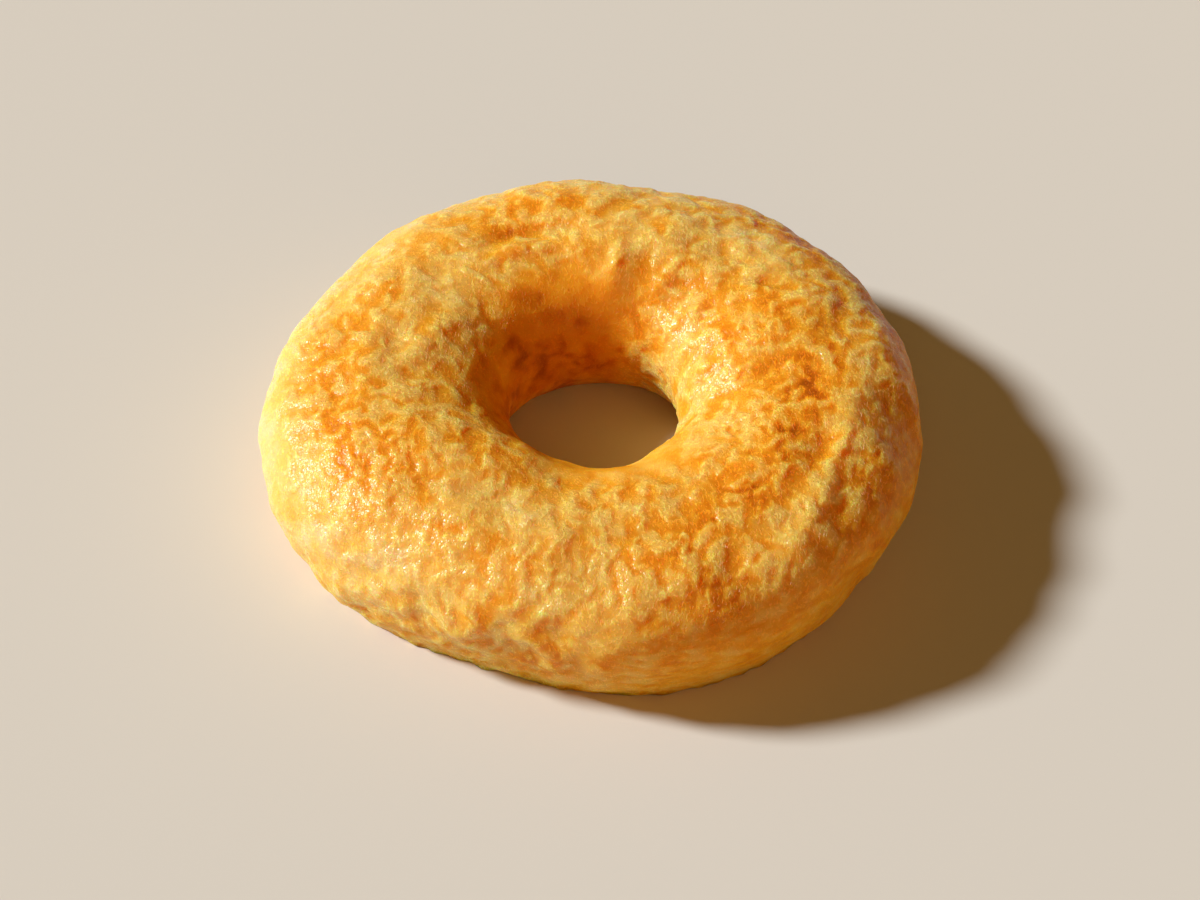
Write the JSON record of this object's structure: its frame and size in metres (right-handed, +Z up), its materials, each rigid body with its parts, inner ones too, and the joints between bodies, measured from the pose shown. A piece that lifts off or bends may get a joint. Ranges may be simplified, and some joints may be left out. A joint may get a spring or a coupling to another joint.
{
  "type": "cheese ring doughnut",
  "caption": "Baked cheese ring doughnut: a flat-bottomed ring with a rounded, dimpled and wrinkled golden crust round an open hole.",
  "frame": {"origin": "middle of the ring's outline at the height of its flat underside", "axes": "+Z up along the hole, +X along the ring's longest width, -Y towards the side that faces the viewer"},
  "size_m": [0.112, 0.1064, 0.0273],
  "materials": {
    "crust": "moist, softly glossy baked cheese crust, pale yellow to golden with toasted orange-brown patches"
  },
  "bodies": {
    "root": {"doughnut": "crust"}
  },
  "joints": []
}
